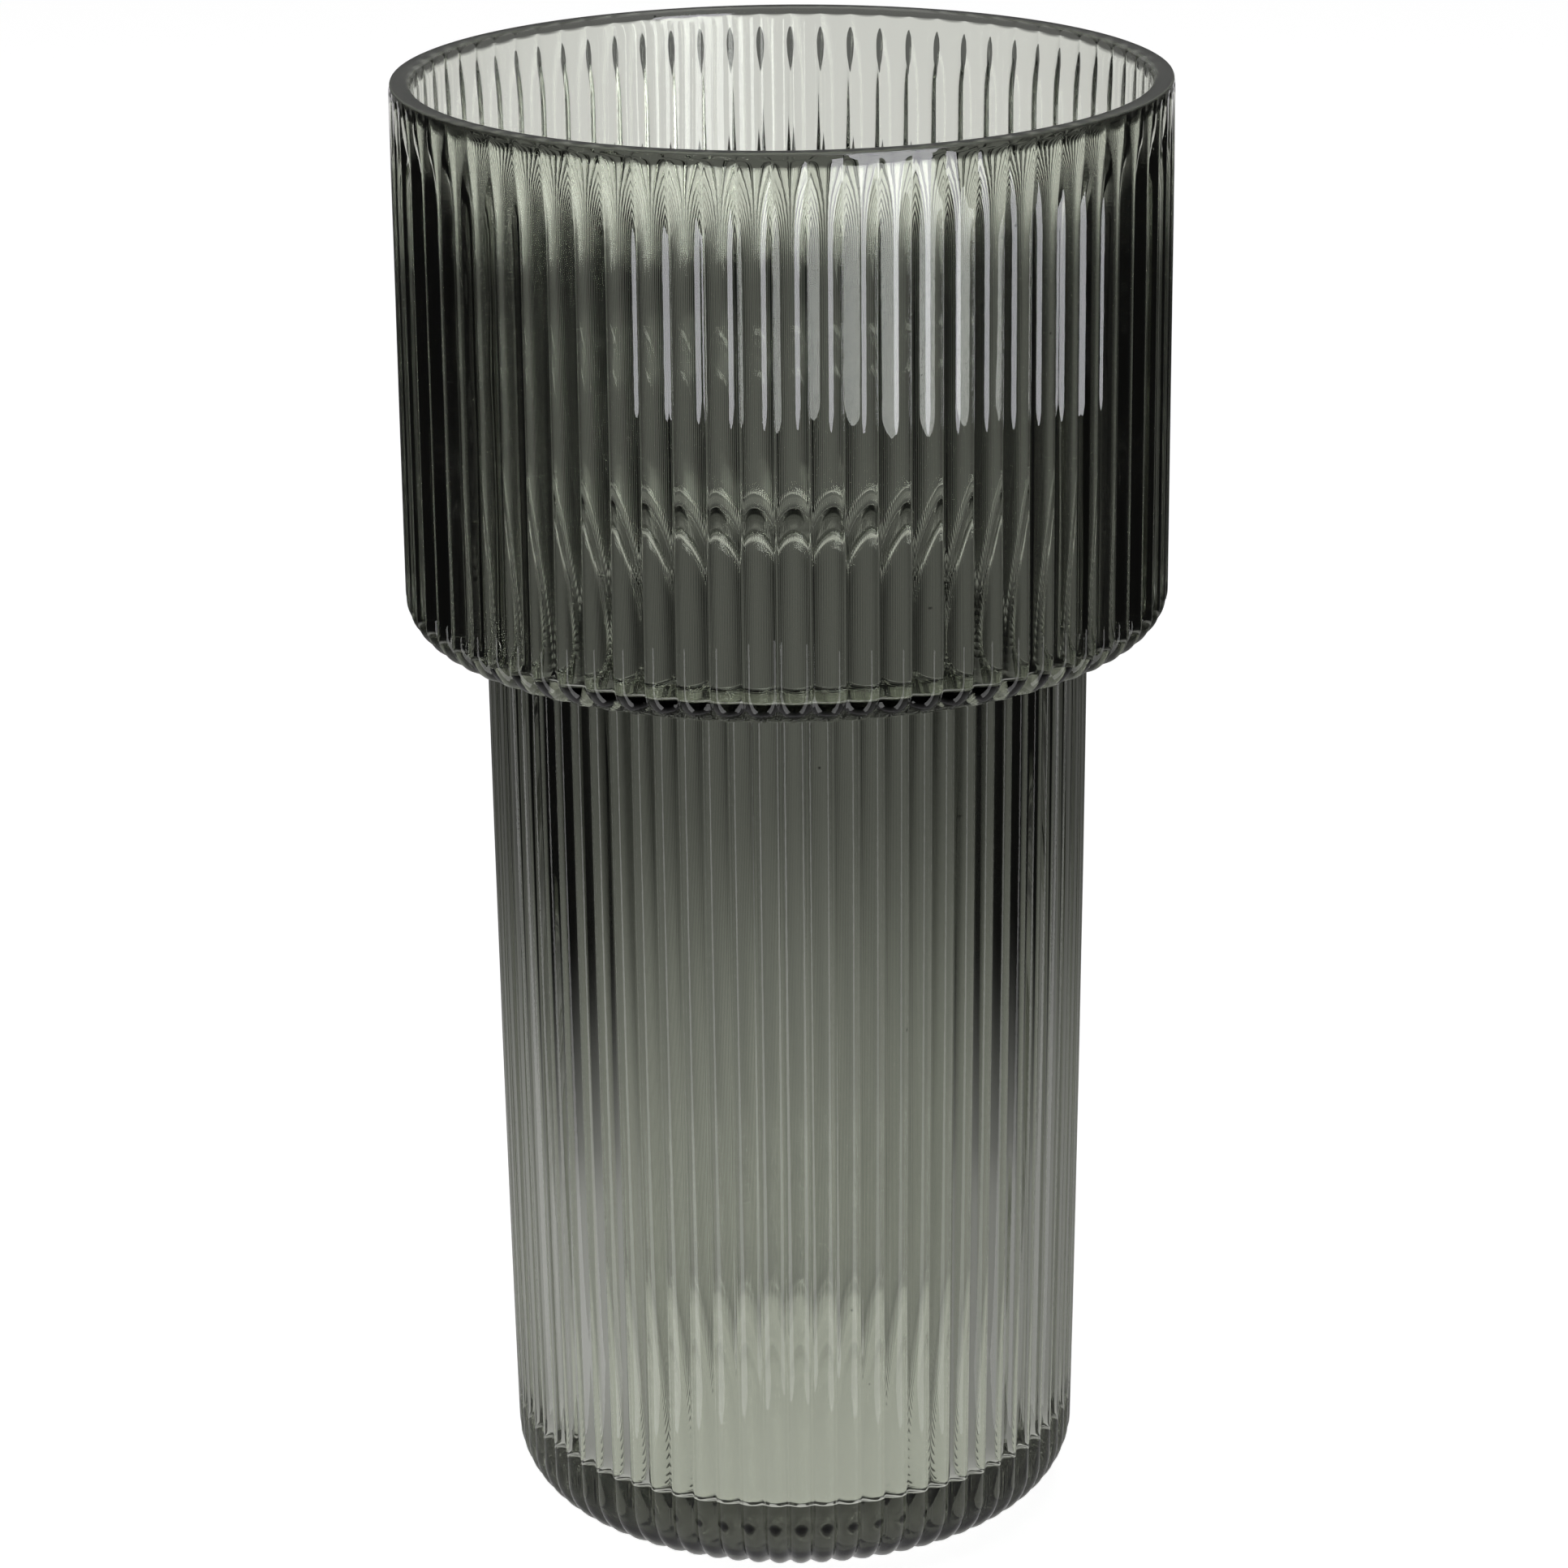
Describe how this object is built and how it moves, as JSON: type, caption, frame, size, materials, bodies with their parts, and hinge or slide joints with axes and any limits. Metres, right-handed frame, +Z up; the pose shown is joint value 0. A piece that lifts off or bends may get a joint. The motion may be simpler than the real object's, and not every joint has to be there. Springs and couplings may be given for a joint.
{
  "type": "vase",
  "caption": "Tall ribbed smoke-grey glass vase: a wide upper cylinder steps down over a rounded shoulder to a narrower cylinder on a thick solid base.",
  "frame": {"origin": "centre of the underside, on the plane that the vase stands on", "axes": "+Z up along the vase's axis, towards the mouth; +X and +Y are free, because the vase is round, and a rib crest lies on +X"},
  "size_m": [0.1542, 0.154, 0.3],
  "materials": {
    "smoke_glass": "clear"
  },
  "bodies": {
    "root": {"rim_ring": "smoke_glass", "upper_cylinder": "smoke_glass", "shoulder_step": "smoke_glass", "lower_cylinder": "smoke_glass", "base": "smoke_glass"}
  },
  "joints": []
}
